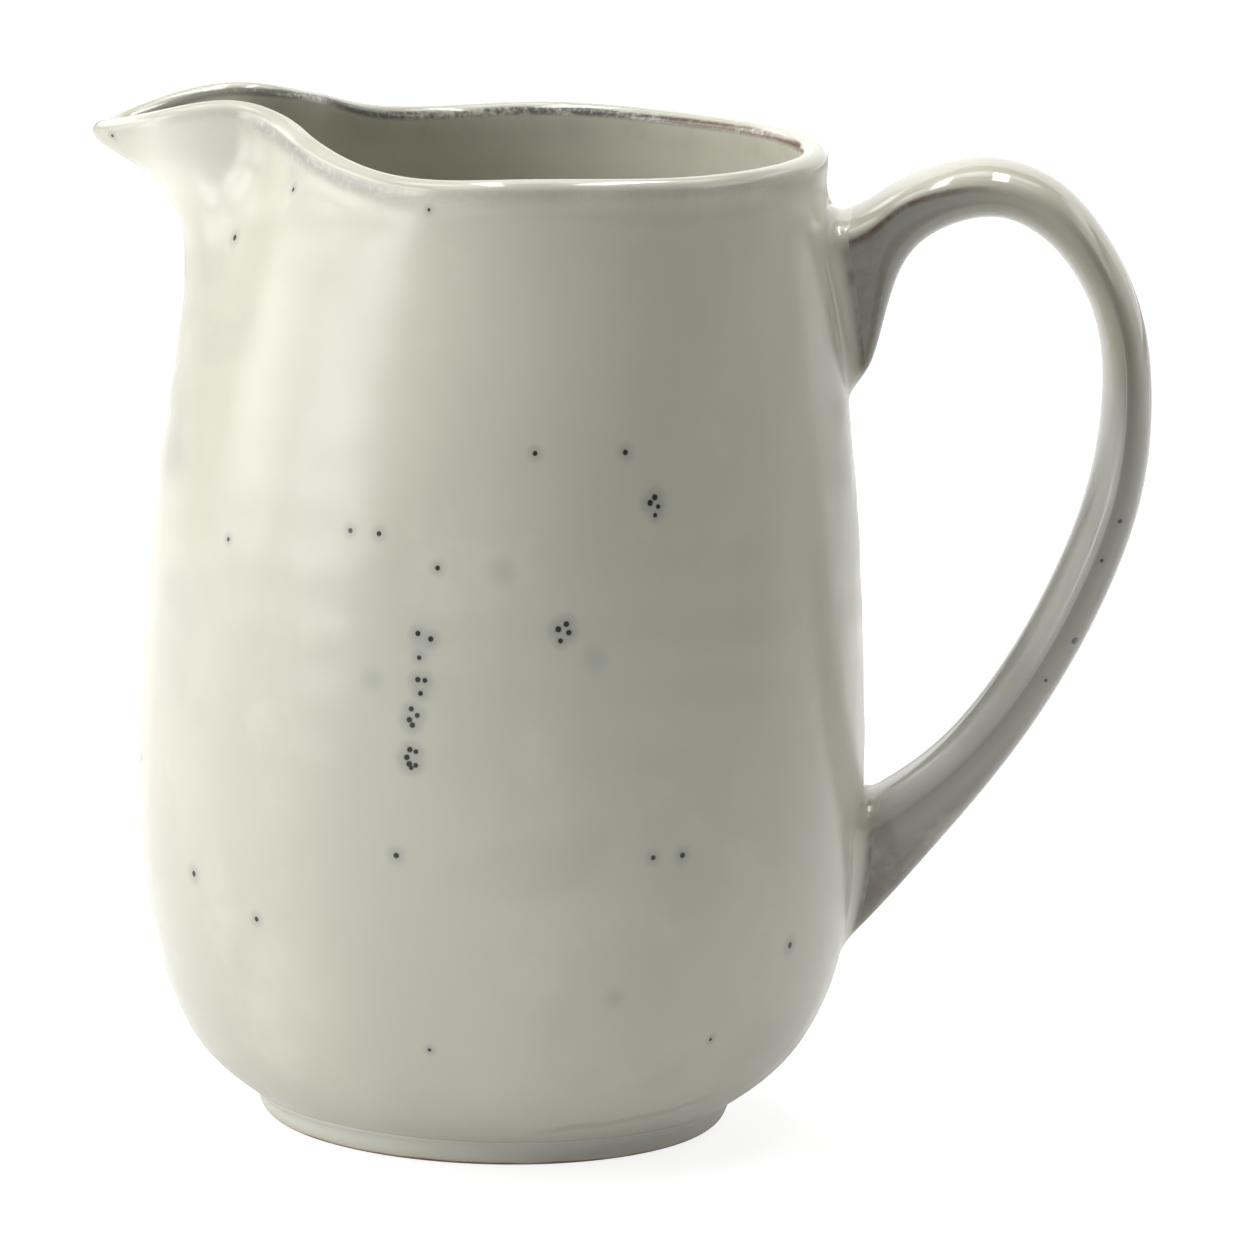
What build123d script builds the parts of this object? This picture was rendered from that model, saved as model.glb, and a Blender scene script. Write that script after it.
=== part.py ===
"""A stoneware pouring jug: a turned body with a pulled spout, a foot ring, and a strap handle luted on at two places.

Millimetres. +Z is up, +X points from the jug's axis to the handle, and the spout points along -X. The origin is on the
axis, in the plane that the foot ring rests on.
"""

import os
from math import cos, dist, exp, radians, sin

from build123d import *

# Driving dimensions
lip_height = 175.6  # of the lip at the jug's sides
lip_radius = 54.0  # outside, away from the spout
shoulder_height = 115.0  # where the straight taper up to the lip begins
shoulder_radius = 61.8
wall = 4.5
foot_height = 4.0
foot_rest_radius = 40.3
foot_top_radius = 42.3
foot_ring_width = 6.0  # where it stands
foot_ring_flare = 1.5  # how much wider it is on the inside where it joins the body
floor_thickness = 5.5
lip_rounding = 1.8
foot_rounding = 0.8
spout_reach = 74.6  # from the axis to the tip of the spout's full shape
spout_height = 172.8  # where the spout reaches its full shape
spout_wall_lag = 3.0  # the spout's wall leans out, so its inside takes the same shape this much higher

floor_height = foot_height + floor_thickness
taper = (shoulder_radius - lip_radius) / (lip_height - shoulder_height)
cut_height = lip_height + 30.0  # above everything before the lip is cut to shape
cut_reach = 110.0  # beyond everything sideways

# Outside of the wall from the foot to the shoulder, as radius and height
belly_profile = [
    (foot_top_radius, foot_height),
    (50.2, 10.0),
    (55.3, 16.0),
    (59.2, 24.0),
    (62.1, 35.0),
    (63.8, 47.0),
    (64.6, 60.0),
    (64.4, 76.0),
    (63.4, 95.0),
    (shoulder_radius, shoulder_height),
]

# Inside of the wall from the flat of the floor to the shoulder, before it is raised by spout_wall_lag
bowl_profile = [
    (28.0, floor_height - spout_wall_lag),
    (36.0, 7.4),
    (44.5, 10.8),
    (51.0, 16.5),
    (55.6, 25.0),
    (58.2, 35.5),
    (59.6, 47.0),
    (60.1, 60.0),
    (59.9, 76.0),
    (58.9, 95.0),
    (shoulder_radius - wall, shoulder_height),
]

# Half of the lip's outline in plan, from the spout's tip to the jug's side. Each point of the outer outline has its
# partner on the inner one, the angle from the spout at which the two grow out of the round wall, and the height over
# which they do so.
spout_outline = [
    ((-spout_reach, 0.0), (-70.5, 0.0), 0.0, 7.6),
    ((-72.4, 4.2), (-68.9, 2.6), 4.5, 7.6),
    ((-63.5, 12.3), (-61.4, 8.2), 12.0, 8.0),
    ((-55.0, 14.6), (-54.4, 10.2), 17.0, 9.0),
    ((-48.0, 15.8), (-46.6, 11.6), 22.0, 10.5),
    ((-42.8, 20.3), (-39.0, 17.6), 29.0, 12.0),
    ((-38.3, 28.8), (-34.3, 26.5), 38.5, 13.0),
    ((-31.0, 37.5), (-27.8, 34.4), 51.0, 14.0),
    ((-22.0, 46.8), (-19.6, 43.0), 65.0, 14.0),
    ((-12.0, 52.4), (-10.8, 48.1), 77.5, 14.0),
]
round_angles = (95.0, 115.0, 137.0, 158.0, 180.0)  # the rest of the outline, on the round wall
upper_heights = (130.0, 142.0, 151.0, 158.0, 163.5, 168.0, 172.0, 176.0, 181.0, 188.0, 196.0)

# Side view of the lip, from beyond the spout's tip to beyond the handle side
lip_side_view = [
    (-cut_reach, 172.0),
    (-86.0, 172.2),
    (-74.0, 176.2),
    (-61.0, 180.7),
    (-49.0, 182.7),
    (-41.0, 181.2),
    (-31.0, 177.1),
    (-19.0, 174.9),
    (0.0, lip_height),
    (30.0, lip_height),
    (55.0, lip_height + 0.4),
    (cut_reach, lip_height + 0.4),
]

# Handle stations from the upper root to the lower one: a point on its outer line, one on its inner line, its width
handle_stations = [
    ((50.0, 162.3), (53.0, 134.0), 24.6),
    ((57.5, 164.2), (60.0, 134.7), 24.2),
    ((63.0, 167.0), (65.2, 144.0), 23.2),
    ((68.2, 170.4), (68.6, 155.0), 22.6),
    ((75.5, 173.5), (74.2, 161.3), 22.0),
    ((84.5, 174.5), (83.5, 164.2), 21.5),
    ((94.5, 171.4), (91.0, 162.1), 21.2),
    ((104.0, 162.0), (97.8, 155.8), 21.0),
    ((110.8, 148.5), (103.0, 145.4), 21.0),
    ((113.4, 132.0), (104.4, 131.5), 21.0),
    ((112.0, 114.0), (102.3, 115.8), 21.0),
    ((106.6, 97.0), (97.2, 100.8), 21.2),
    ((97.6, 78.6), (88.2, 83.0), 21.6),
    ((86.5, 61.8), (77.3, 68.7), 22.2),
    ((75.0, 47.2), (68.8, 61.8), 23.2),
    ((67.5, 38.2), (64.0, 59.0), 23.8),
    ((58.0, 28.0), (57.0, 56.5), 24.4),
]

# The slip at each handle end: stations that widen past the handle inside the wall and close onto it just outside
upper_joint_stations = [
    ((52.4, 169.2), (56.2, 129.0), 34.0),
    ((58.9, 165.4), (62.0, 135.4), 24.8),
]
lower_joint_stations = [
    ((66.5, 36.2), (68.0, 61.8), 24.6),
    ((59.0, 25.6), (61.5, 63.0), 34.0),
]


def wall_radius(z):
    """Outer radius of the straight taper above the shoulder."""
    return shoulder_radius - taper * (z - shoulder_height)


def growth(z, fade):
    """How much of the spout's full shape the wall has at this height, from 0 to 1."""
    raw = exp((z - spout_height) / fade)
    return raw / (1 + raw**8) ** 0.125


def wall_outline(radius, z, side):
    """Closed outline of the wall at a height, from the handle side round: side 0 is the outer one, 1 the inner."""
    round_points = [(-radius * cos(radians(angle)), radius * sin(radians(angle))) for angle in round_angles]
    spout_points = []
    for *places, angle, fade in spout_outline:
        share = growth(z, fade)
        x, y = places[side]
        round_x = -radius * cos(radians(angle))
        round_y = radius * sin(radians(angle))
        spout_points.append((round_x + share * (x - round_x), round_y + share * (y - round_y)))
    half = round_points[::-1] + spout_points[::-1]
    return half + [(x, -y) for x, y in half[-2:0:-1]]


def handle_outline(thickness, width):
    """Lens-like closed outline of the handle's section, centred on its plane: thickness along x, width along y."""
    quarter = ((0.5, 0.0), (0.46, 0.17), (0.35, 0.33), (0.19, 0.45), (0.0, 0.5))
    points = [(u * thickness, v * width) for u, v in quarter]
    points += [(-x, y) for x, y in reversed(points[:-1])]
    return points + [(x, -y) for x, y in reversed(points[1:-1])]


def handle_plane(outer, inner):
    """Plane of a handle station: x runs from the inner line to the outer line, y across the strap."""
    middle = ((outer[0] + inner[0]) / 2, 0, (outer[1] + inner[1]) / 2)
    across = (outer[0] - inner[0], 0, outer[1] - inner[1])
    return Plane(origin=middle, x_dir=across, z_dir=(across[2], 0, -across[0]))


# Everything inside the outer surface of the wall, from the foot to above the lip
with BuildPart() as outer_form:
    for radius, z in belly_profile + [(wall_radius(z), z) for z in upper_heights]:
        with BuildSketch(Plane.XY.offset(z)):
            with BuildLine():
                Spline(wall_outline(radius, z, side=0), periodic=True)
            make_face()
    loft()

# Everything inside the inner surface of the wall, from the floor to above the lip
with BuildPart() as inner_form:
    for radius, z in bowl_profile + [(wall_radius(z) - wall, z) for z in upper_heights]:
        with BuildSketch(Plane.XY.offset(z + spout_wall_lag)):
            with BuildLine():
                Spline(wall_outline(radius, z, side=1), periodic=True)
            make_face()
    loft()

# Body: floor, wall and spout in one, with its lip cut to the side view and rounded
with BuildPart() as vessel_body:
    add(outer_form.part)
    add(inner_form.part, mode=Mode.SUBTRACT)
    with BuildSketch(Plane.XZ):
        with BuildLine():
            lip_line = Spline(lip_side_view)
            Polyline(lip_line @ 1, (cut_reach, cut_height), (-cut_reach, cut_height), lip_line @ 0)
        make_face()
    extrude(amount=cut_reach, both=True, mode=Mode.SUBTRACT)
    lip_edges = vessel_body.edges().filter_by(lambda edge: edge.bounding_box().min.Z > lip_height - 4.0)
    fillet(lip_edges, lip_rounding)

# Foot: a ring trimmed to a cone that narrows downward, left unglazed where it stands
with BuildPart() as foot_ring:
    with BuildSketch(Plane.XZ):
        with BuildLine():
            Polyline(
                (foot_rest_radius - foot_ring_width, 0.0),
                (foot_rest_radius, 0.0),
                (foot_top_radius, foot_height),
                (foot_rest_radius - foot_ring_width - foot_ring_flare, foot_height),
                close=True,
            )
        make_face()
    revolve(axis=Axis.Z)
    rest_edges = foot_ring.edges().group_by(Axis.Z)[0]
    fillet(rest_edges, foot_rounding)

# Handle: a pulled strap, thick at its ends, shaped to the wall where it meets it
with BuildPart() as handle:
    for outer, inner, width in handle_stations:
        with BuildSketch(handle_plane(outer, inner)):
            with BuildLine():
                Spline(handle_outline(dist(outer, inner), width), periodic=True)
            make_face()
    loft()
    add(outer_form.part, mode=Mode.SUBTRACT)

# Slip worked into the corner between the wall and the handle's upper end
with BuildPart() as upper_handle_joint:
    for outer, inner, width in upper_joint_stations:
        with BuildSketch(handle_plane(outer, inner)):
            with BuildLine():
                Spline(handle_outline(dist(outer, inner), width), periodic=True)
            make_face()
    loft(ruled=True)
    add(outer_form.part, mode=Mode.SUBTRACT)
    add(handle.part, mode=Mode.SUBTRACT)

# The same at the handle's lower end
with BuildPart() as lower_handle_joint:
    for outer, inner, width in lower_joint_stations:
        with BuildSketch(handle_plane(outer, inner)):
            with BuildLine():
                Spline(handle_outline(dist(outer, inner), width), periodic=True)
            make_face()
    loft(ruled=True)
    add(outer_form.part, mode=Mode.SUBTRACT)
    add(handle.part, mode=Mode.SUBTRACT)

vessel_body.part.label = "vessel_body"
foot_ring.part.label = "foot_ring"
handle.part.label = "handle"
upper_handle_joint.part.label = "upper_handle_joint"
lower_handle_joint.part.label = "lower_handle_joint"

os.makedirs("parts", exist_ok=True)
for part in (vessel_body.part, foot_ring.part, handle.part, upper_handle_joint.part, lower_handle_joint.part):
    export_step(part, f"parts/{part.label}.step")
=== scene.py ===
"""The stoneware pitcher as it looks: glazed body with a pulled spout, foot ring, strap handle and two joints.

Shapes are worked out in millimetres in the part's frame (+Z up, +X towards the handle, spout along -X) and
turned into metres when a mesh is made.
"""

from math import cos, degrees, pi, radians, sin

import bpy
import numpy as np
from mathutils import Euler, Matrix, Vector


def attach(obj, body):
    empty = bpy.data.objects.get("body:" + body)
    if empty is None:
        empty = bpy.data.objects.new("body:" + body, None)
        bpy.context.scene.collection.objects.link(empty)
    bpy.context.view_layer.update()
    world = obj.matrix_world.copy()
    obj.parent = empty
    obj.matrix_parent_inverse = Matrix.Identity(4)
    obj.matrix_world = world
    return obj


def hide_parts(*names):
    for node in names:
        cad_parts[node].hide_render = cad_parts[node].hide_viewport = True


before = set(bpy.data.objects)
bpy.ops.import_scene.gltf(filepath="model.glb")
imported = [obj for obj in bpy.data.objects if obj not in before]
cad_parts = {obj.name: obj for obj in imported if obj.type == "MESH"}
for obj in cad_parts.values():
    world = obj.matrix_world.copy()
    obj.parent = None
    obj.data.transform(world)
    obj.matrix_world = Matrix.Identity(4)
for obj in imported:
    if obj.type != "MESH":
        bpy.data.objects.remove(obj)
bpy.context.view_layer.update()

MM = 0.001


# -----------------------------------------------------------------------------
# Curves and meshes


def spline(knots, values, at):
    """Natural cubic spline through values (one row per knot), read at the given parameters."""
    knots = np.asarray(knots, float)
    values = np.asarray(values, float)
    flat = values.ndim == 1
    if flat:
        values = values[:, None]
    gaps = np.diff(knots)
    n = len(knots)
    system = np.eye(n)
    right = np.zeros_like(values)
    for i in range(1, n - 1):
        system[i, i - 1:i + 2] = gaps[i - 1], 2 * (gaps[i - 1] + gaps[i]), gaps[i]
        right[i] = 6 * ((values[i + 1] - values[i]) / gaps[i] - (values[i] - values[i - 1]) / gaps[i - 1])
    bend = np.linalg.solve(system, right)
    at = np.asarray(at, float)
    i = np.clip(np.searchsorted(knots, at) - 1, 0, n - 2)
    h = gaps[i][..., None]
    a = (knots[i + 1] - at)[..., None] / h
    b = 1 - a
    curved = (a ** 3 - a) * bend[i] + (b ** 3 - b) * bend[i + 1]
    read = a * values[i] + b * values[i + 1] + curved * h * h / 6
    return read[..., 0] if flat else read


def chord_lengths(points):
    """Distance along a list of points from the first to each."""
    steps = np.linalg.norm(np.diff(np.asarray(points, float), axis=0), axis=1)
    return np.concatenate([[0.0], np.cumsum(steps)])


def along_path(points, count):
    """Smooth path through the points, read at evenly spaced places."""
    lengths = chord_lengths(points)
    return spline(lengths, points, np.linspace(0, lengths[-1], count))


def smooth_step(low, high, x):
    t = np.clip((x - low) / (high - low), 0, 1)
    return t * t * (3 - 2 * t)


def grid_mesh(name, points, attributes=None, close_rows=False, first_pole=False, last_pole=False):
    """Mesh from points[row, column] in mm, closed round its columns. A pole row is one point repeated."""
    rows, columns = points.shape[:2]
    vertices = []
    index = np.zeros((rows, columns), int)
    source = []
    for r in range(rows):
        pole = (first_pole and r == 0) or (last_pole and r == rows - 1)
        for c in range(columns):
            if pole and c > 0:
                index[r, c] = index[r, 0]
                continue
            index[r, c] = len(vertices)
            vertices.append(points[r, c] * MM)
            source.append((r, c))
    faces = []
    for r in range(rows if close_rows else rows - 1):
        upper = (r + 1) % rows
        for c in range(columns):
            right = (c + 1) % columns
            corners = [index[r, c], index[r, right], index[upper, right], index[upper, c]]
            face = [int(v) for i, v in enumerate(corners) if v != corners[i - 1]]
            if len(face) > 2:
                faces.append(face)
    mesh = bpy.data.meshes.new(name)
    mesh.from_pydata([tuple(v) for v in vertices], [], faces)
    for label, values in (attributes or {}).items():
        layer = mesh.attributes.new(label, "FLOAT", "POINT")
        layer.data.foreach_set("value", [float(values[r, c]) for r, c in source])
    mesh.polygons.foreach_set("use_smooth", [True] * len(mesh.polygons))
    mesh.update()
    made = bpy.data.objects.new(name, mesh)
    bpy.context.scene.collection.objects.link(made)
    return made


# -----------------------------------------------------------------------------
# The wall's shape

FOOT_HEIGHT = 4.0
BELLY_RADIUS = 64.0
LIP_RADIUS = 54.0  # outside, away from the spout
LIP_HALF_HEIGHT = 2.2
SPOUT_HEIGHT = 172.8  # where the spout reaches its full shape
SPOUT_LAG = 3.0  # its inside takes the same shape this much higher

# Radius and height of the outside, then of the inside, up the round wall
OUTSIDE = [
    (42.3, 4.0), (45.9, 6.6), (50.2, 10.0), (55.3, 16.0), (59.2, 24.0), (62.1, 35.0),
    (63.8, 47.0), (64.6, 60.0), (64.4, 76.0), (63.4, 95.0), (61.8, 115.0), (59.9, 130.0),
    (57.9, 145.0), (56.0, 160.0), (54.1, 175.0), (52.1, 190.0),
]
INSIDE = [
    (28.0, 9.5), (36.0, 10.4), (44.5, 13.8), (51.0, 19.5), (55.6, 28.0), (58.2, 38.5),
    (59.6, 50.0), (60.1, 62.0), (59.9, 77.0), (58.9, 95.0), (57.3, 115.0), (55.4, 130.0),
    (53.4, 145.0), (51.5, 160.0), (49.6, 175.0), (47.6, 190.0),
]

# The lip's outline in plan from the spout's tip to the side: outer place, inner place, the angle from the
# spout at which the two grow out of the round wall, and the height over which they do so
SPOUT = [
    ((-74.6, 0.0), (-70.5, 0.0), 0.0, 7.6),
    ((-72.4, 4.2), (-68.9, 2.6), 4.5, 7.6),
    ((-63.5, 12.3), (-61.4, 8.2), 12.0, 8.0),
    ((-55.0, 14.6), (-54.4, 10.2), 17.0, 9.0),
    ((-48.0, 15.8), (-46.6, 11.6), 22.0, 10.5),
    ((-42.8, 20.3), (-39.0, 17.6), 29.0, 12.0),
    ((-38.3, 28.8), (-34.3, 26.5), 38.5, 13.0),
    ((-31.0, 37.5), (-27.8, 34.4), 51.0, 14.0),
    ((-22.0, 46.8), (-19.6, 43.0), 65.0, 14.0),
    ((-12.0, 52.4), (-10.8, 48.1), 77.5, 14.0),
]
ROUND_ANGLES = (95.0, 115.0, 137.0, 158.0, 180.0)  # the rest of it, on the round wall
# The lip's crown from the side, as x and height
LIP_SIDE_VIEW = [
    (-110.0, 172.0), (-86.0, 172.2), (-74.0, 176.2), (-61.0, 180.7), (-49.0, 182.7),
    (-41.0, 181.2), (-31.0, 177.1), (-19.0, 174.9), (0.0, 175.6), (30.0, 175.6),
    (55.0, 176.0), (110.0, 176.0),
]
COLUMNS = 384


def half_knots():
    """Parameter of each outline point: length along the lip's outer outline from the tip, scaled to 0..1."""
    places = [entry[0] for entry in SPOUT]
    places += [(-LIP_RADIUS * cos(radians(a)), LIP_RADIUS * sin(radians(a))) for a in ROUND_ANGLES]
    lengths = chord_lengths(places)
    return lengths / lengths[-1]


KNOTS = half_knots()
ANGLES = np.array([entry[2] for entry in SPOUT] + list(ROUND_ANGLES))


def mirrored(values, about_start, about_end):
    """Half an outline's values, mirrored past both ends: as they are (None) or turned over about a value."""
    before = values[:0:-1]
    after = values[-2::-1]
    if about_start is not None:
        before = 2 * about_start - before
    if about_end is not None:
        after = 2 * about_end - after
    return np.concatenate([before, values, after])


class Wall:
    """One side of the wall. side 0 is the outside, 1 the inside."""

    def __init__(self, side):
        self.side = side
        self.profile = np.array(INSIDE if side else OUTSIDE)
        # Columns run once round the outline, from the handle side by +Y to the tip and back by -Y
        turn = np.arange(COLUMNS) / COLUMNS
        half = np.abs(1 - 2 * turn)
        self.mirror = np.where(turn < 0.5, 1.0, -1.0)
        knots = np.concatenate([-KNOTS[:0:-1], KNOTS, 2 - KNOTS[-2::-1]])
        self.angle = np.radians(spline(knots, mirrored(ANGLES, 0.0, 180.0), half))
        unit = np.eye(len(KNOTS))[:len(SPOUT)]
        self.weight_x = [spline(knots, mirrored(one, None, None), half) for one in unit]
        self.weight_y = [spline(knots, mirrored(one, 0.0, 0.0), half) for one in unit]

    def radius(self, z):
        return spline(self.profile[:, 1], self.profile[:, 0], z)

    def growth(self, z, fade):
        """How much of the spout's full shape the wall has at a height, from 0 to 1."""
        raw = np.exp(np.minimum((z - SPOUT_LAG * self.side - SPOUT_HEIGHT) / fade, 20))
        return raw / (1 + raw ** 8) ** 0.125

    def place(self, z, radius=None):
        """Points of the wall at heights z[row, column], as an array with x, y, z last."""
        if radius is None:
            radius = self.radius(z)
        x = -radius * np.cos(self.angle)
        y = radius * np.sin(self.angle)
        for entry, weight_x, weight_y in zip(SPOUT, self.weight_x, self.weight_y):
            target, angle, fade = entry[self.side], radians(entry[2]), entry[3]
            share = self.growth(z, fade)
            x = x + weight_x * share * (target[0] + radius * cos(angle))
            y = y + weight_y * share * (target[1] - radius * sin(angle))
        return np.stack([x, y * self.mirror, z], axis=-1)


def lip_height(x):
    """Height of the lip's crown at a place along the side view."""
    view = np.array(LIP_SIDE_VIEW)
    return spline(view[:, 0], view[:, 1], x)


def hand_wobble(points):
    """The slight unevenness of a hand-finished wall, as a move along the radius."""
    angle = np.arctan2(points[..., 1], points[..., 0])
    z = points[..., 2]
    amount = 0.16 * np.sin(3 * angle + 0.031 * z + 1.0) + 0.10 * np.sin(5 * angle - 0.043 * z + 2.1)
    amount += 0.07 * np.sin(9 * angle + 0.02 * z + 0.4) + 0.05 * np.sin(0.55 * z + 1.5 * np.sin(angle))
    fade = smooth_step(6.0, 22.0, z)
    length = np.linalg.norm(points[..., :2], axis=-1)
    moved = points.copy()
    moved[..., 0] += points[..., 0] / length * amount * fade
    moved[..., 1] += points[..., 1] / length * amount * fade
    return moved


# -----------------------------------------------------------------------------
# Body


def lip_base(outer, inner):
    """Height at each column where the wall ends and the rounding of the lip starts."""
    height = np.full((1, COLUMNS), 175.0)
    for _ in range(4):
        x = (outer.place(height)[..., 0] + inner.place(height)[..., 0]) / 2
        height = lip_height(x) - LIP_HALF_HEIGHT
    return height


def lip_bead(points, below):
    """The lip is a little thicker than the wall under it. below: how far under the lip's base a point is."""
    dip = 0.16 * smooth_step(-44.0, -28.0, points[..., 0])
    amount = 0.36 * np.exp(-((below - 0.4) / 1.9) ** 2) - dip * np.exp(-((below - 4.6) / 2.2) ** 2)
    length = np.linalg.norm(points[..., :2], axis=-1)
    moved = points.copy()
    moved[..., :2] += points[..., :2] / length[..., None] * amount[..., None]
    return moved


def make_body(outer, inner):
    top = lip_base(outer, inner)
    # Outside, from the foot up: rows are closer together near the foot and in the spout
    outer_rows = 150
    t = np.linspace(0, 1, outer_rows)[:, None]
    share = 0.30 * t + 0.70 * (1 - (1 - t) ** 1.6)
    share = share + 0.12 * t * (1 - t) * (t - 0.75)
    heights = FOOT_HEIGHT + share * (top - FOOT_HEIGHT)
    outside = lip_bead(hand_wobble(outer.place(heights)), top - heights)
    # Inside, from the lip down to the flat of the floor
    profile = np.array(INSIDE)
    lengths = chord_lengths(profile)
    inner_rows = 110
    top_length = np.interp(top, profile[:, 1], lengths)
    s = (1 - np.linspace(0, 1, inner_rows)[:, None] ** 0.85) * top_length
    ring = spline(lengths, profile, s)
    ring[0, :, 1] = top
    ring[0, :, 0] = inner.radius(top[0])
    inside = inner.place(ring[..., 1], radius=ring[..., 0])
    # Lip: half an ellipse from the outside over to the inside
    middle = (outside[-1] + inside[0]) / 2
    across = (outside[-1] - inside[0]) / 2
    rows = []
    for angle in np.linspace(0, pi, 15)[1:-1]:
        rise = np.array([0.0, 0.0, LIP_HALF_HEIGHT * sin(angle)])
        rows.append(middle + across * cos(angle) + rise)
    lip = np.array(rows)
    # Floor inside and base underneath
    floor = np.array([inside[-1] * [k, k, 1.0] for k in np.linspace(1, 0, 14)[1:]])
    base = np.array([outside[0] * [k, k, 1.0] for k in np.linspace(0, 1, 16)[:-1]])
    points = np.concatenate([base, outside, lip, inside, floor])
    # Distance from the lip's crown along the section: positive down the outside, negative down the inside
    steps = np.linalg.norm(np.diff(points, axis=0), axis=2)
    run = np.concatenate([np.zeros((1, COLUMNS)), np.cumsum(steps, axis=0)])
    crown = len(base) + outer_rows + len(lip) // 2
    lip_distance = np.clip(run[crown] - run, -60, 60)
    return grid_mesh("jug_body", points, {"lip_mm": lip_distance}, first_pole=True, last_pole=True)


# -----------------------------------------------------------------------------
# Foot

# Radius and height: down the outside from just under the body's surface, across where it stands, up the inside
FOOT_SECTION = [
    (43.70, 5.30), (43.55, 4.75), (42.90, 4.05), (42.45, 3.35), (42.20, 2.60),
    (41.85, 1.60), (41.30, 0.75), (40.60, 0.22), (39.60, 0.0), (37.50, 0.0),
    (35.30, 0.0), (34.60, 0.25), (34.10, 0.90), (33.50, 2.30), (32.80, 4.00),
]


FOOT_TOP = (36.0, 4.3)  # closes the ring inside the body's clay


def make_foot():
    section = along_path(FOOT_SECTION, 44)
    section[:, 1] = np.maximum(section[:, 1], 0.0)
    columns = 256
    angle = np.arange(columns) / columns * 2 * pi
    lift = 0.06 * np.sin(2 * angle + 0.5) + 0.05 * np.sin(5 * angle)
    points = np.zeros((len(section) + 1, columns, 3))
    for row, (radius, z) in enumerate(section):
        reach = radius + lift * 1.5 * smooth_step(0.3, 3.0, z)
        points[row] = np.stack([reach * np.cos(angle), reach * np.sin(angle), np.full(columns, z)], axis=-1)
    radius, z = FOOT_TOP
    points[-1] = np.stack([radius * np.cos(angle), radius * np.sin(angle), np.full(columns, z)], axis=-1)
    return grid_mesh("jug_foot", points[::-1], close_rows=True)


# -----------------------------------------------------------------------------
# Handle

# From the upper root to the lower one: a point on the outer line, one on the inner line, the width, and where
# the strap is widest: 1 on the outer line, -1 on the inner one
STATIONS = [
    ((50.0, 162.3), (53.0, 134.0), 24.6, 0.72),
    ((57.5, 164.2), (61.6, 134.7), 24.2, 0.72),
    ((63.0, 167.0), (65.0, 143.0), 23.2, 0.68),
    ((68.2, 170.4), (68.4, 155.0), 22.6, 0.58),
    ((75.5, 173.5), (74.2, 161.3), 22.0, 0.36),
    ((84.5, 174.5), (83.5, 164.2), 21.5, 0.20),
    ((94.5, 171.4), (91.0, 162.1), 21.2, 0.10),
    ((104.0, 162.0), (97.8, 155.8), 21.0, 0.0),
    ((110.8, 148.5), (103.0, 145.4), 21.0, -0.10),
    ((113.4, 132.0), (104.4, 131.5), 21.0, -0.15),
    ((112.0, 114.0), (102.3, 115.8), 21.0, -0.15),
    ((106.6, 97.0), (97.2, 100.8), 21.2, -0.18),
    ((97.6, 78.6), (88.2, 83.0), 21.6, -0.25),
    ((86.5, 61.8), (77.3, 68.7), 22.2, -0.40),
    ((75.0, 47.2), (68.8, 61.8), 23.2, -0.55),
    ((67.5, 38.2), (64.0, 59.0), 23.8, -0.60),
    ((58.0, 28.0), (57.0, 56.5), 24.4, -0.60),
]
AROUND = 72
RUNG_COUNT = 300


def handle_rails():
    """Handle's surface as points[along, around]. Around starts on the outer line and goes by +Y."""
    outer = np.array([s[0] for s in STATIONS])
    inner = np.array([s[1] for s in STATIONS])
    width = np.array([s[2] for s in STATIONS])
    ridge = np.array([s[3] for s in STATIONS])
    knots = chord_lengths((outer + inner) / 2)
    at = np.linspace(0, knots[-1], RUNG_COUNT)
    outer = spline(knots, outer, at)
    inner = spline(knots, inner, at)
    width = spline(knots, width, at)
    ridge = spline(knots, ridge, at)[:, None]
    # The section is a lens, a little slimmer than an ellipse
    phi = np.arange(AROUND) / AROUND * 2 * pi
    deep = np.sign(np.cos(phi)) * np.abs(np.cos(phi)) ** 1.10
    wide = np.sin(phi)
    deep = (deep + ridge) / (1 + ridge * deep)
    middle = (outer + inner) / 2
    half = (outer - inner) / 2
    points = np.zeros((RUNG_COUNT, AROUND, 3))
    points[..., 0] = middle[:, :1] + half[:, :1] * deep
    points[..., 2] = middle[:, 1:] + half[:, 1:] * deep
    points[..., 1] = width[:, None] / 2 * wide
    return points


def degrees_from_inner():
    """How far each column of the handle is from its inner line, as an angle from 0 to 180."""
    return np.abs(np.arange(AROUND) / AROUND * 360.0 - 180.0)


def wall_gap(points, wall):
    """How far points are outside the round wall; negative inside it."""
    return np.linalg.norm(points[..., :2], axis=-1) - wall.radius(points[..., 2])


def make_handle(rails):
    across = np.broadcast_to(degrees_from_inner(), rails.shape[:2])
    along = np.broadcast_to(np.linspace(0, 1, RUNG_COUNT)[:, None], rails.shape[:2])
    ends = [np.broadcast_to(rails[i].mean(axis=0), rails[0].shape)[None] for i in (0, -1)]
    points = np.concatenate([ends[0], rails, ends[1]])
    around = np.concatenate([across[:1], across, across[-1:]])
    length = np.concatenate([along[:1], along, along[-1:]])
    attributes = {"from_inner_deg": around, "along": length}
    return grid_mesh("jug_handle", points, attributes, first_pole=True, last_pole=True)


RUNGS_AHEAD = 60  # enough of the handle to measure a joint's climb along


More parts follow.
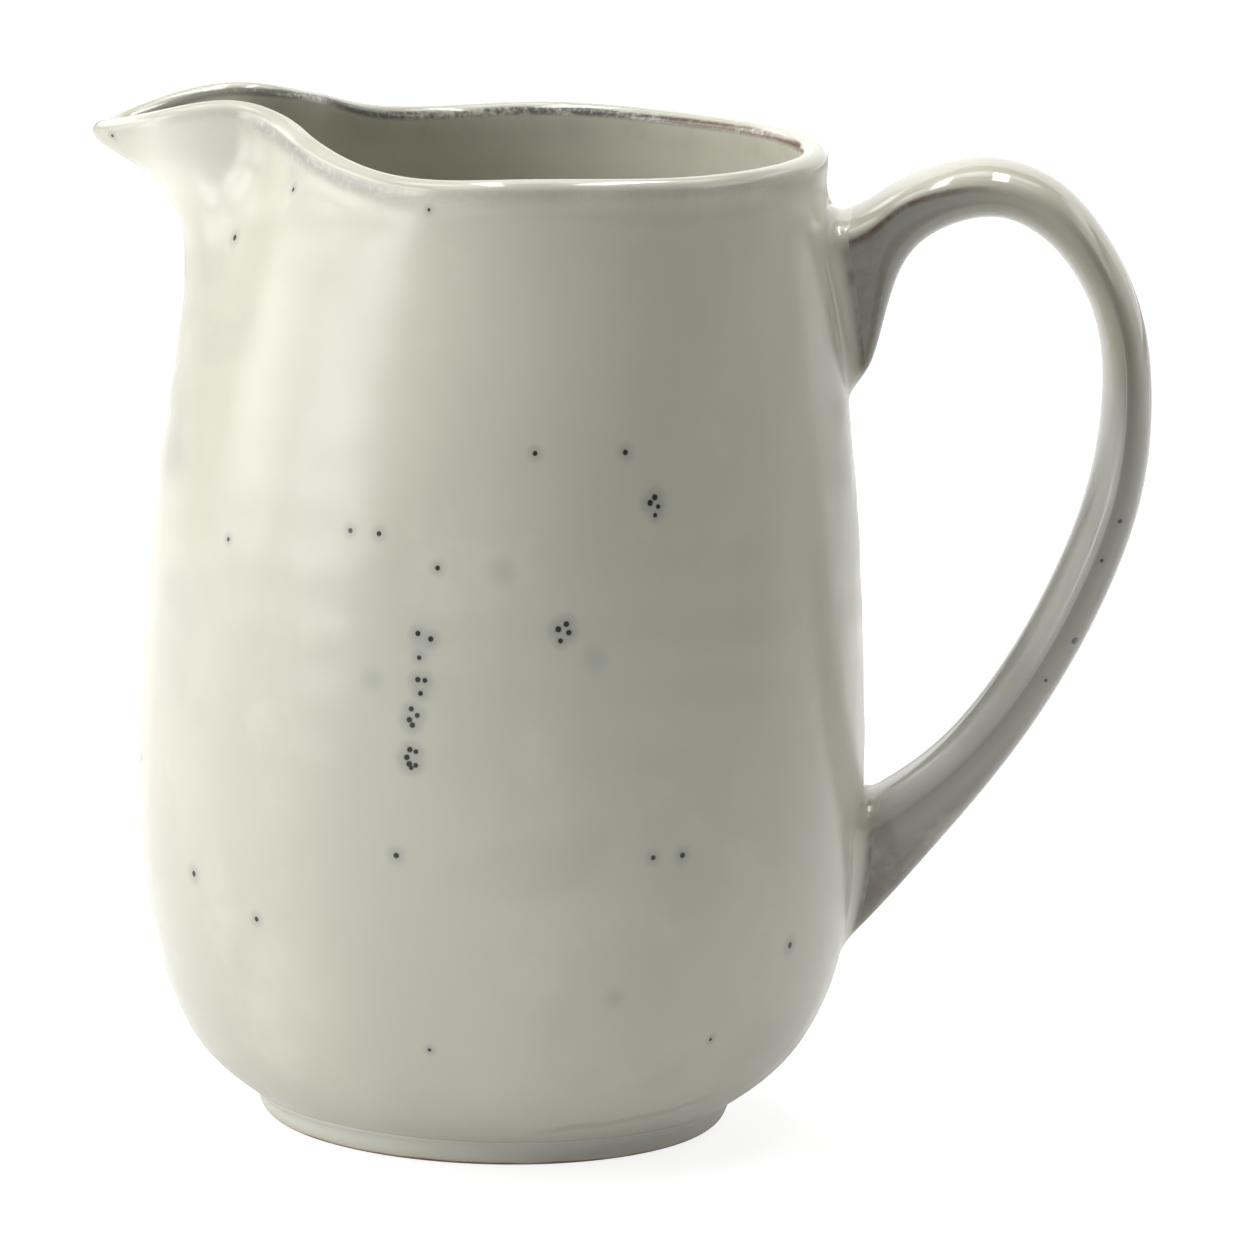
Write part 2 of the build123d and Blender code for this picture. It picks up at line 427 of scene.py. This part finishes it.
def handle_seam(rails, wall, climb):
    """Where the handle's lines leave the wall, the places climb mm further, and the lines' way there."""
    gap = wall_gap(rails, wall)
    seam = np.zeros((AROUND, 3))
    upper = np.zeros((AROUND, 3))
    rail_way = np.zeros((AROUND, 3))
    for k in range(AROUND):
        line = rails[:, k]
        i = int(np.argmax(gap[:, k] > 0))
        t = gap[i - 1, k] / (gap[i - 1, k] - gap[i, k])
        seam[k] = line[i - 1] + t * (line[i] - line[i - 1])
        rest = np.concatenate([seam[k][None], line[i:i + RUNGS_AHEAD]])
        lengths = chord_lengths(rest)
        upper[k] = [np.interp(climb, lengths, rest[:, a]) for a in range(3)]
        further = [np.interp(climb + 1.0, lengths, rest[:, a]) for a in range(3)]
        way = np.array(further) - upper[k]
        rail_way[k] = way / np.linalg.norm(way)
    return seam, upper, rail_way


def away_from_seam(seam, wall):
    """At each place of a seam, the direction along the wall away from the handle, and the wall's normal."""
    tangent = np.roll(seam, -1, axis=0) - np.roll(seam, 1, axis=0)
    normal = seam * [1, 1, 0]
    normal /= np.linalg.norm(normal, axis=1)[:, None]
    normal[:, 2] = wall.radius(seam[:, 2] - 0.5) - wall.radius(seam[:, 2] + 0.5)
    normal /= np.linalg.norm(normal, axis=1)[:, None]
    away = np.cross(tangent, normal)
    away /= np.linalg.norm(away, axis=1)[:, None]
    away *= np.sign(np.sum(away * (seam - seam.mean(axis=0)), axis=1))[:, None]
    return away, normal


def make_joint(name, rails, wall, spread, climb):
    """Concave ring of slip between the wall and the end of the handle where the rails start."""
    seam, upper, rail_way = handle_seam(rails, wall, climb)
    away, normal = away_from_seam(seam, wall)
    low = seam + away * spread
    reach = np.linalg.norm(low[:, :2], axis=1)
    low[:, :2] *= (wall.radius(low[:, 2]) / reach)[:, None]
    # A cubic curve at each column, drawn in towards the corner
    hollow = 0.62
    near_wall = low + (seam - low) * hollow
    near_handle = upper - rail_way * climb * hollow
    rows = []
    for t in np.linspace(0, 1, 13):
        middle = 3 * t * (1 - t) ** 2 * near_wall + 3 * t * t * (1 - t) * near_handle
        rows.append((1 - t) ** 3 * low + middle + t ** 3 * upper)
    rows = np.array(rows)
    # Both edges run on a little under the surfaces they meet, then inside
    inward = upper.mean(axis=0) - upper
    inward /= np.linalg.norm(inward, axis=1)[:, None]
    under_wall = (low + away * 0.5 - normal * 0.3)[None]
    under_handle = (upper + rail_way * 0.5 + inward * 0.3)[None]
    buried = (seam - normal * 0.8)[None]
    rows[0] -= normal * 0.03
    points = np.concatenate([under_wall, rows, under_handle, buried])
    edge = np.broadcast_to(np.linspace(0, 1, len(points))[:, None], points.shape[:2])
    across = np.broadcast_to(degrees_from_inner(), points.shape[:2])
    return grid_mesh(name, points, {"climb": edge, "from_inner_deg": across}, close_rows=True)


# -----------------------------------------------------------------------------
# Materials


class Nodes:
    """Short ways to add and join shader nodes in a new material, or in the node tree of a light."""

    def __init__(self, name, tree=None):
        if tree is None:
            self.material = bpy.data.materials.new(name)
            self.material.use_nodes = True
            tree = self.material.node_tree
            output = "ShaderNodeOutputMaterial"
        else:
            output = "ShaderNodeOutputLight"
        self.tree = tree
        self.tree.nodes.clear()
        self.output = self.tree.nodes.new(output)

    def put(self, socket, value):
        if isinstance(value, bpy.types.NodeSocket):
            self.tree.links.new(value, socket)
        elif isinstance(value, (tuple, list)) and len(value) == 3 and socket.type == "RGBA":
            socket.default_value = (*value, 1.0)
        else:
            socket.default_value = value

    def add(self, kind, output=0, inputs=None, **settings):
        node = self.tree.nodes.new(kind)
        for key, value in settings.items():
            setattr(node, key, value)
        for key, value in (inputs or {}).items():
            self.put(node.inputs[key], value)
        return node.outputs[output]

    def math(self, operation, a, b=0.0):
        return self.add("ShaderNodeMath", inputs={0: a, 1: b}, operation=operation)

    def times(self, a, b):
        return self.math("MULTIPLY", a, b)

    def plus(self, a, b):
        return self.math("ADD", a, b)

    def without(self, share):
        """What is left of 1 after a share."""
        return self.math("SUBTRACT", 1.0, share)

    def axis(self, vector, letter):
        return self.add("ShaderNodeSeparateXYZ", output=letter, inputs={"Vector": vector})

    def ramp(self, value, low, high, to_low=0.0, to_high=1.0):
        inputs = {"Value": value, "From Min": low, "From Max": high, "To Min": to_low, "To Max": to_high}
        return self.add("ShaderNodeMapRange", inputs=inputs, interpolation_type="SMOOTHSTEP")

    def mix(self, share, a, b):
        node = self.tree.nodes.new("ShaderNodeMix")
        node.data_type = "RGBA"
        self.put(node.inputs[0], share)
        self.put(node.inputs[6], a)
        self.put(node.inputs[7], b)
        return node.outputs[2]

    def noise(self, where, scale, detail=3.0, roughness=0.5, distortion=0.0):
        inputs = {"Vector": where, "Scale": scale, "Detail": detail, "Roughness": roughness}
        inputs["Distortion"] = distortion
        return self.add("ShaderNodeTexNoise", inputs=inputs)

    def value(self, name):
        return self.add("ShaderNodeAttribute", output="Fac", attribute_name=name)


# Iron specks in the glaze. Single ones: azimuth from +X in degrees, height in mm, diameter in mm
SINGLE_SPECKS = [
    (-140, 110, 0.7), (-115, 115, 0.8), (-110, 115, 0.8), (-100, 110, 0.8), (-85, 130, 0.8), (-70, 130, 0.9),
    (-155, 160, 0.9), (-105, 170, 0.6), (-140, 170, 0.7), (-175, 175, 0.5), (-105, 60, 0.9), (-145, 50, 1.0),
    (-130, 45, 0.8), (-65, 60, 0.8), (-60, 60, 0.9), (-35, 40, 1.0), (-100, 25, 0.6), (-50, 25, 0.6),
    (-170, 65, 0.8), (60, 120, 0.9), (85, 70, 0.8), (140, 60, 0.8), (30, 100, 0.7), (70, 40, 0.8),
]
# Groups, four of them in a run down the front: azimuth and height of the middle, how many, and how far they
# scatter in mm
SPECK_GROUPS = [
    (-102, 97, 3, 2.2), (-102, 90, 3, 1.2), (-103, 84, 4, 1.6), (-103, 77, 6, 1.5),
    (-80, 100, 4, 1.6), (-65, 121, 4, 1.5), (112, 93, 2, 2.0),
]
GROUP_ACROSS = 0.7  # times the scatter: the groups are taller than wide
GROUP_UP = 1.2
SMALLEST_SPECK = 0.7
LARGEST_SPECK = 1.0
# Soft grey spots away from the groups, and the diameter of the one behind each group
SINGLE_GREY_SPOTS = [
    (-90, 110, 4.0), (-110, 90, 3.5), (-75, 95, 3.5), (-70, 35, 3.0),
    (95, 80, 4.0), (150, 110, 3.5),
]
GROUP_GREY = 3.8
# On the handle: place in side view (x and height in mm) and diameter
HANDLE_SPECKS = [
    (101, 90, 1.2), (108, 112, 0.7), (105, 105, 0.6), (115, 110, 0.6),
    (96, 83, 0.6), (80, 73, 0.8),
]


def group_specks():
    """The specks of the groups, scattered round each middle, as azimuth, height and diameter."""
    draws = np.random.default_rng(3)
    specks = []
    for azimuth, height, count, scatter in SPECK_GROUPS:
        first_turn = draws.uniform(0.0, 360.0)
        for number in range(count):
            turn = radians(first_turn + number * 360.0 / count + draws.uniform(-25.0, 25.0))
            reach = scatter * draws.uniform(0.55, 1.15)
            across = degrees(GROUP_ACROSS * reach * cos(turn) / BELLY_RADIUS)
            size = draws.uniform(SMALLEST_SPECK, LARGEST_SPECK)
            specks.append((azimuth + across, height + GROUP_UP * reach * sin(turn), size))
    return specks


BODY_SPECKS = SINGLE_SPECKS + group_specks()
GREY_SPOTS = SINGLE_GREY_SPOTS + [(azimuth, height, GROUP_GREY) for azimuth, height, _, _ in SPECK_GROUPS]


# Two tones of the glaze, then its pale and its grey patches
GLAZE_COLOURS = [(0.505, 0.505, 0.425), (0.57, 0.56, 0.468), (0.64, 0.625, 0.53), (0.36, 0.37, 0.345)]


def clouds(n, place):
    """Slow shifts of tone in the glaze, running downward."""
    stretched = n.add("ShaderNodeMapping", inputs={"Vector": place, "Scale": (1.0, 1.0, 0.35)})
    soft = n.noise(place, 14.0, 2.0)
    runs = n.noise(stretched, 60.0, 3.0)
    return n.plus(n.times(soft, 0.65), n.times(runs, 0.35))


def wall_place(n, place):
    """Place on the wall laid out flat: length round it, and height."""
    x = n.axis(place, "X")
    y = n.axis(place, "Y")
    z = n.axis(place, "Z")
    length = n.times(n.math("ARCTAN2", y, x), BELLY_RADIUS * MM)
    return n.add("ShaderNodeCombineXYZ", inputs={"X": length, "Z": z})


def spot_distance(n, place, spots):
    """Distance to the nearest of the spots, counted in that spot's diameters."""
    nearest = None
    for across, height, size in spots:
        centre = (across * MM, 0.0, height * MM)
        ends = {0: place, 1: centre}
        apart = n.add("ShaderNodeVectorMath", output="Value", inputs=ends, operation="DISTANCE")
        counted = n.math("DIVIDE", apart, size * MM)
        nearest = counted if nearest is None else n.math("MINIMUM", nearest, counted)
    return nearest


def on_wall(spots):
    """Spots given by azimuth, as lengths round the wall."""
    return [(radians(azimuth) * BELLY_RADIUS, height, size) for azimuth, height, size in spots]


def add_specks(n, flat, colour, specks, share=1.0):
    """Black pinholes, each in a faint blue-grey halo."""
    distance = spot_distance(n, flat, specks)
    halo = n.times(n.ramp(distance, 2.8, 0.6), 0.32)
    colour = n.mix(n.times(halo, share), colour, (0.22, 0.225, 0.22))
    core = n.times(n.ramp(distance, 0.70, 0.42), 0.97)
    return n.mix(n.times(core, share), colour, (0.022, 0.021, 0.021))


def glaze(name, edge_breaks, smoothest, roughest, ripples, tint=(1.0, 1.0, 1.0)):
    """Glossy pale grey-green glaze. edge_breaks(n, place, colour) adds what shows where it runs thin."""
    n = Nodes(name)
    place = n.add("ShaderNodeTexCoord", output="Object")
    shade = [tuple(c * t for c, t in zip(colour, tint)) for colour in GLAZE_COLOURS]
    tone = n.ramp(clouds(n, place), 0.36, 0.64)
    colour = n.mix(tone, shade[0], shade[1])
    pale = n.ramp(n.noise(place, 38.0, 4.0, 0.6), 0.56, 0.74)
    colour = n.mix(n.times(pale, 0.35), colour, shade[2])
    grey = n.ramp(n.noise(place, 27.0, 2.0, 0.5, 0.4), 0.60, 0.78)
    colour = n.mix(n.times(grey, 0.35), colour, shade[3])
    colour = edge_breaks(n, place, colour)
    rough = n.ramp(n.noise(place, 90.0, 3.0), 0.3, 0.7, smoothest, roughest)
    # The rounded lip shines more sharply than the wall. Pieces other than the body have no lip_mm, which then
    # reads as 0, so they shine as sharply as the lip
    from_lip = n.math("ABSOLUTE", n.value("lip_mm"))
    rough = n.times(rough, n.ramp(from_lip, 1.5, 5.0, 0.4, 1.0))
    ripple = n.noise(place, 55.0, 2.0)
    peel = n.noise(place, 700.0, 2.0)
    height = n.plus(ripple, n.times(peel, 0.02))
    bump = n.add("ShaderNodeBump", inputs={"Strength": ripples, "Distance": 0.0009, "Height": height})
    inputs = {"Base Color": colour, "Roughness": rough, "Normal": bump, "IOR": 1.46}
    shader = n.add("ShaderNodeBsdfPrincipled", inputs=inputs)
    n.put(n.output.inputs["Surface"], shader)
    return n.material


def body_breaks(n, place, colour):
    lip = n.value("lip_mm")
    grain = n.noise(place, 900.0, 3.0, 0.7)
    patches = n.noise(place, 45.0, 3.0)
    # Iron showing along the inner edge of the lip, red at the handle's side
    inner_edge = n.times(n.ramp(lip, -4.0, -3.0), n.ramp(lip, -1.6, -2.3))
    broken = n.ramp(n.plus(n.times(grain, 0.8), patches), 0.62, 0.94)
    inner_edge = n.times(inner_edge, broken)
    x = n.axis(place, "X")
    iron = n.mix(n.ramp(x, 0.010, 0.040), (0.055, 0.055, 0.055), (0.15, 0.085, 0.06))
    colour = n.mix(n.times(inner_edge, n.ramp(x, -0.062, -0.030, 0.45, 0.85)), colour, iron)
    # Under it the inside is stained a little
    stain = n.times(n.ramp(lip, -16.0, -4.0), n.ramp(lip, -2.0, -4.5))
    stain = n.times(stain, n.ramp(n.noise(place, 120.0, 4.0, 0.7), 0.40, 0.65))
    stain = n.times(stain, n.ramp(x, -0.055, -0.020, 0.05, 0.16))
    colour = n.mix(stain, colour, (0.24, 0.25, 0.24))
    # Painted light: further down, the inside is painted a little paler than the outside, to lift the shade
    # inside the jug
    inside = n.ramp(lip, -4.0, -11.0)
    colour = n.mix(n.times(inside, 0.40), colour, (0.74, 0.72, 0.61))
    # A grey band just below the lip outside, darkest on the way up to the spout
    band = n.times(n.ramp(lip, 2.4, 3.4), n.ramp(lip, 6.8, 3.8))
    by_spout = n.times(n.ramp(x, -0.052, -0.042), n.ramp(x, -0.006, -0.030))
    strength = n.plus(0.25, n.times(by_spout, 0.35))
    band = n.times(band, n.ramp(n.plus(patches, n.times(grain, 0.5)), 0.55, 0.85))
    colour = n.mix(n.times(band, strength), colour, (0.21, 0.215, 0.215))
    # A thin grey run of glaze on the near side, rising to the right above the foot
    z = n.axis(place, "Z")
    y = n.axis(place, "Y")
    wave = n.times(n.noise(place, 120.0, 2.0), 0.003)
    rise = n.plus(n.plus(0.0048, wave), n.times(x, 0.14))
    run = n.ramp(n.math("ABSOLUTE", n.math("SUBTRACT", z, rise)), 0.0011, 0.0003)
    run = n.times(run, n.times(n.ramp(x, 0.006, 0.014), n.ramp(x, 0.042, 0.034)))
    run = n.times(run, n.math("LESS_THAN", y, 0.0))
    colour = n.mix(n.times(run, 0.30), colour, (0.28, 0.29, 0.30))
    # Painted light: the underside of the spout's flare, which faces down away from the lamps, is painted paler
    pale = n.times(n.ramp(x, -0.044, -0.056), n.ramp(z, 0.1600, 0.1715))
    pale = n.times(pale, n.times(n.ramp(x, -0.070, -0.061), n.ramp(lip, 1.0, 5.0)))
    colour = n.mix(n.times(pale, 0.80), colour, (0.82, 0.81, 0.71))
    # Soft grey spots and black specks on the outside
    outside = n.ramp(lip, 0.0, 2.0)
    flat = wall_place(n, place)
    grey = n.ramp(spot_distance(n, flat, on_wall(GREY_SPOTS)), 1.0, 0.1)
    colour = n.mix(n.times(n.times(grey, outside), 0.30), colour, (0.30, 0.31, 0.30))
    return add_specks(n, flat, colour, on_wall(BODY_SPECKS), outside)


def strap_side(n, from_inner):
    """1 on the inner face of the strap, 0 on its outer face, with the change at the ridge between them."""
    return n.ramp(from_inner, 98.0, 80.0)


def shaded_face(n, inner, upper_end):
    """1 on the strap's shaded face, where shade is painted: the inner one at its upper end, the outer one at
    its lower end.
    """
    return n.plus(n.times(inner, upper_end), n.times(n.without(inner), n.without(upper_end)))


def handle_breaks(n, place, colour):
    from_inner = n.value("from_inner_deg")
    along = n.value("along")
    patches = n.noise(place, 55.0, 3.0)
    fine = n.noise(place, 500.0, 3.0, 0.6)
    rough_patches = n.plus(patches, n.times(fine, 0.3))
    # Painted shade: the inner face is painted darker at the upper root, where it faces down, and the outer
    # face further on, where it faces away from the lamps
    inner = strap_side(n, from_inner)
    inner_shade = n.times(inner, n.ramp(along, 0.42, 0.10, 0.0, 0.78))
    colour = n.mix(inner_shade, colour, (0.180, 0.183, 0.152))
    outer = n.without(inner)
    outer_shade = n.times(outer, n.ramp(along, 0.32, 0.50, 0.04, 0.62))
    colour = n.mix(outer_shade, colour, (0.215, 0.212, 0.178))
    # Painted light: lower down, the inner face, which faces the lamps on the left, is painted paler
    inner_painted_light = n.times(inner, n.ramp(along, 0.38, 0.50))
    colour = n.mix(n.times(inner_painted_light, 0.55), colour, (0.72, 0.73, 0.70))
    grey = n.ramp(n.noise(place, 33.0, 2.0, 0.5), 0.45, 0.7)
    colour = n.mix(n.times(grey, 0.30), colour, (0.29, 0.29, 0.255))
    # Iron: a dark red line on the ridge from the upper root, then brown patches towards the outer edge
    edge = n.math("ABSOLUTE", n.math("SUBTRACT", from_inner, 90.0))
    line = n.times(n.ramp(edge, 12.0, 3.0), n.ramp(along, 0.25, 0.13))
    line = n.times(line, n.ramp(rough_patches, 0.50, 0.70))
    colour = n.mix(n.times(line, 0.85), colour, (0.12, 0.075, 0.06))
    past_top = n.times(n.ramp(along, 0.22, 0.34), n.ramp(along, 0.54, 0.42))
    turn = n.times(n.ramp(edge, 34.0, 6.0), past_top)
    colour = n.mix(n.times(turn, 0.55), colour, (0.19, 0.172, 0.14))
    worn = n.times(n.ramp(from_inner, 120.0, 146.0), n.ramp(along, 0.50, 0.64))
    worn = n.times(worn, n.ramp(rough_patches, 0.46, 0.72))
    colour = n.mix(n.times(worn, 0.60), colour, (0.155, 0.135, 0.11))
    # Brown patches beside both joints, laid only on the shaded face: partly iron, partly painted shade in the
    # crease at the roots
    from_end = n.math("SUBTRACT", 0.5, n.math("ABSOLUTE", n.math("SUBTRACT", along, 0.5)))
    beside = n.times(n.ramp(from_end, 0.095, 0.080), n.ramp(rough_patches, 0.56, 0.76))
    upper_end = n.math("LESS_THAN", along, 0.5)
    beside = n.times(beside, shaded_face(n, inner, upper_end))
    colour = n.mix(n.times(beside, 0.45), colour, (0.15, 0.12, 0.09))
    # A thin pale line on the ridge further down
    lower_part = n.times(n.ramp(along, 0.36, 0.42), n.ramp(along, 0.8, 0.7))
    seam = n.times(n.ramp(edge, 2.0, 0.6), lower_part)
    colour = n.mix(n.times(seam, 0.45), colour, (0.70, 0.67, 0.58))
    # Specks only on the near edge
    flattened = {0: place, 1: (1.0, 0.0, 1.0)}
    side_view = n.add("ShaderNodeVectorMath", inputs=flattened, operation="MULTIPLY")
    y = n.axis(place, "Y")
    return add_specks(n, side_view, colour, HANDLE_SPECKS, n.ramp(y, -0.0055, -0.0080))


def joint_breaks(n, place, colour):
    """The slip is like the body, and goes over into the painted shade of the handle's shaded face at its upper
    edge, with brown patches there that are partly iron and partly painted shade.
    """
    climb = n.value("climb")
    face = strap_side(n, n.value("from_inner_deg"))
    z = n.axis(place, "Z")
    painted_shade_face = shaded_face(n, face, n.math("GREATER_THAN", z, 0.1))
    share = n.times(n.times(n.ramp(climb, 0.50, 0.84), painted_shade_face), 0.75)
    colour = n.mix(share, colour, (0.185, 0.185, 0.155))
    patches = n.noise(place, 130.0, 3.0)
    iron = n.times(n.times(n.ramp(climb, 0.64, 0.82), painted_shade_face), n.ramp(patches, 0.42, 0.62))
    return n.mix(n.times(iron, 0.6), colour, (0.13, 0.085, 0.065))


def clay_and_glaze(name):
    """The foot: glaze down to an uneven line just above the table, bare clay below and underneath."""
    n = Nodes(name)
    place = n.add("ShaderNodeTexCoord", output="Object")
    height = n.axis(place, "Z")
    grain = n.noise(place, 1400.0, 4.0, 0.7)
    clay = n.mix(grain, (0.16, 0.095, 0.06), (0.34, 0.23, 0.16))
    line = n.plus(height, n.times(n.noise(place, 110.0, 3.0), 0.0010))
    covered = n.ramp(line, 0.0010, 0.0013)
    # The buff by the glaze's edge is its own colour; the green-grey above it is painted paler than the body's
    # glaze, as painted light against the shade at the foot near the table
    glaze_colour = n.mix(n.ramp(line, 0.0013, 0.0030), (0.60, 0.56, 0.47), (0.60, 0.605, 0.54))
    colour = n.mix(covered, clay, glaze_colour)
    bump = n.add("ShaderNodeBump", inputs={"Strength": 0.5, "Distance": 0.0003, "Height": grain})
    inputs = {"Base Color": colour, "Roughness": n.ramp(covered, 0.0, 1.0, 0.85, 0.16), "Normal": bump}
    shader = n.add("ShaderNodeBsdfPrincipled", inputs=inputs)
    n.put(n.output.inputs["Surface"], shader)
    return n.material


# -----------------------------------------------------------------------------
# Build


SLIP_SPREAD = 4.0  # how far a joint's slip reaches along the wall
SLIP_CLIMB = 4.0  # and along the handle

outer_wall = Wall(0)
inner_wall = Wall(1)
rails = handle_rails()

body = make_body(outer_wall, inner_wall)
foot = make_foot()
handle = make_handle(rails)
upper_joint = make_joint("jug_upper_joint", rails, outer_wall, SLIP_SPREAD, SLIP_CLIMB)
lower_joint = make_joint("jug_lower_joint", rails[::-1], outer_wall, SLIP_SPREAD, SLIP_CLIMB)

pieces = [
    (body, "vessel_body", "body_glaze", glaze("glaze_body", body_breaks, 0.16, 0.26, 0.35)),
    (foot, "foot_ring", "bare_clay", clay_and_glaze("foot_clay")),
    (handle, "handle", "handle_glaze",
     glaze("glaze_handle", handle_breaks, 0.06, 0.12, 0.12, tint=(0.92, 0.90, 0.89))),
    (upper_joint, "upper_handle_joint", "body_glaze",
     glaze("glaze_upper_joint", joint_breaks, 0.10, 0.20, 0.2)),
    (lower_joint, "lower_handle_joint", "body_glaze",
     glaze("glaze_lower_joint", joint_breaks, 0.10, 0.20, 0.2)),
]
for piece, node, slot, material in pieces:
    piece.data.materials.append(material)
    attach(piece, "root")
    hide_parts(node)


# -----------------------------------------------------------------------------
# Floor, light and camera


FLOOR_REACH = 12.0  # metres each way


def make_floor():
    mesh = bpy.data.meshes.new("floor")
    corners = [(x * FLOOR_REACH, y * FLOOR_REACH, 0) for x, y in ((-1, -1), (1, -1), (1, 1), (-1, 1))]
    mesh.from_pydata(corners, [], [(0, 1, 2, 3)])
    made = bpy.data.objects.new("floor", mesh)
    bpy.context.scene.collection.objects.link(made)
    n = Nodes("floor_white")
    # A lit table: it glows a little, more where only the camera sees it, so that it stays white far away, and
    # more behind the object where it is mirrored in the glaze
    seen = n.add("ShaderNodeLightPath", output="Is Camera Ray")
    mirrored_in_glaze = n.add("ShaderNodeLightPath", output="Is Glossy Ray")
    place = n.add("ShaderNodeTexCoord", output="Object")
    distance = n.add("ShaderNodeVectorMath", output="Value", inputs={0: place}, operation="LENGTH")
    glow = n.math("MAXIMUM", n.times(seen, n.ramp(distance, 0.2, 1.2, 0.84, 1.0)), 0.21)
    behind = n.axis(place, "Y")
    mirrored = n.times(mirrored_in_glaze, n.ramp(behind, -0.1, 0.5, 0.20, 0.40))
    glow = n.math("MAXIMUM", glow, mirrored)
    colour = n.mix(seen, (0.60, 0.60, 0.60), (0.30, 0.30, 0.30))
    inputs = {"Base Color": colour, "Roughness": 0.9, "Emission Color": (1.0, 1.0, 1.0)}
    inputs["Emission Strength"] = glow
    shader = n.add("ShaderNodeBsdfPrincipled", inputs=inputs)
    n.put(n.output.inputs["Surface"], shader)
    made.data.materials.append(n.material)
    return made


SOFT_EDGE = 0.35  # share of a light's size over which it fades


def softbox(name, place, target, width, height, brightness, soft_edge=SOFT_EDGE):
    """Rectangular light that fades out towards its edges."""
    light = bpy.data.lights.new(name, "AREA")
    light.shape = "RECTANGLE"
    light.size = width
    light.size_y = height
    light.energy = brightness * width * height * pi
    light.use_nodes = True
    n = Nodes(name, light.node_tree)
    across = n.add("ShaderNodeNewGeometry", output="Parametric")
    fade = 1.0
    for axis in ("X", "Y"):
        at = n.axis(across, axis)
        from_edge = n.math("SUBTRACT", 0.5, n.math("ABSOLUTE", n.math("SUBTRACT", at, 0.5)))
        fade = n.times(fade, n.ramp(from_edge, 0.0, soft_edge))
    emission = n.add("ShaderNodeEmission", inputs={"Strength": fade})
    n.put(n.output.inputs["Surface"], emission)
    made = bpy.data.objects.new(name, light)
    made.location = place
    made.rotation_euler = (Vector(target) - Vector(place)).to_track_quat("-Z", "Y").to_euler()
    made.visible_camera = False
    bpy.context.scene.collection.objects.link(made)
    return made


floor = make_floor()

# A tent of soft lights. Those that stand round the object: azimuth from +X, height, brightness
STANDING = [
    (-150, 0.28, 5.6), (-150, 0.71, 7.0), (180, 0.28, 3.6), (180, 0.71, 5.6), (150, 0.71, 3.6),
    (120, 0.71, 3.0), (30, 0.28, 0.8), (30, 0.71, 2.0), (0, 0.71, 2.0),
]
STANDING_DISTANCE = 1.2
STANDING_WIDTH = 0.83
STANDING_HEIGHT = 0.70
# Those overhead: x, y, brightness
OVERHEAD = [(-0.55, -0.55, 2.8), (-0.55, 0.0, 5.2), (0.0, 0.55, 3.4), (0.55, 0.0, 1.6), (0.55, 0.55, 2.8)]
OVERHEAD_HEIGHT = 1.3
OVERHEAD_SIZE = 0.74
# Two strips overhead that give the glaze its small bright highlights: x, y, width
STRIPS = [(-0.18, 0.05, 0.10), (0.31, 0.25, 0.16)]
STRIP_HEIGHT = 1.2
STRIP_LENGTH = 0.90
STRIP_BRIGHTNESS = 14.0

for number, (azimuth, height, brightness) in enumerate(STANDING):
    x = STANDING_DISTANCE * cos(radians(azimuth))
    y = STANDING_DISTANCE * sin(radians(azimuth))
    target = (0.0, 0.0, height)
    softbox("standing_%d" % number, (x, y, height), target, STANDING_WIDTH, STANDING_HEIGHT, brightness)
for number, (x, y, brightness) in enumerate(OVERHEAD):
    place = (x, y, OVERHEAD_HEIGHT)
    softbox("overhead_%d" % number, place, (x, y, 0.0), OVERHEAD_SIZE, OVERHEAD_SIZE, brightness)
for number, (x, y, width) in enumerate(STRIPS):
    place = (x, y, STRIP_HEIGHT)
    softbox("strip_%d" % number, place, (x, y, 0.0), width, STRIP_LENGTH, STRIP_BRIGHTNESS, soft_edge=0.04)
# A pale backdrop out of the camera's view, mirrored along the upper edges
softbox("backdrop", (0.6, 1.5, 0.66), (0.6, 0.0, 0.66), 2.0, 1.2, 1.1, soft_edge=0.03)

ROOM_BRIGHTNESS = 0.05


def make_world():
    world = bpy.data.worlds.new("studio")
    world.use_nodes = True
    world.node_tree.nodes["Background"].inputs["Strength"].default_value = ROOM_BRIGHTNESS
    return world


bpy.context.scene.world = make_world()

CAMERA_PLACE = (0.0213, -1.400, 0.362)
CAMERA_DOWN = 11.03  # degrees below level
CAMERA_ROLL = 1.6  # degrees about its own line of sight

camera_data = bpy.data.cameras.new("camera")
camera_data.sensor_width = 36.0
camera_data.lens = 230.9
camera = bpy.data.objects.new("camera", camera_data)
camera.location = CAMERA_PLACE
pitch = Euler((radians(90 - CAMERA_DOWN), 0, 0)).to_matrix()
roll = Euler((0, 0, radians(CAMERA_ROLL))).to_matrix()
camera.rotation_euler = (pitch @ roll).to_euler()
bpy.context.scene.collection.objects.link(camera)
bpy.context.scene.camera = camera

scene = bpy.context.scene
scene.view_settings.view_transform = "Standard"
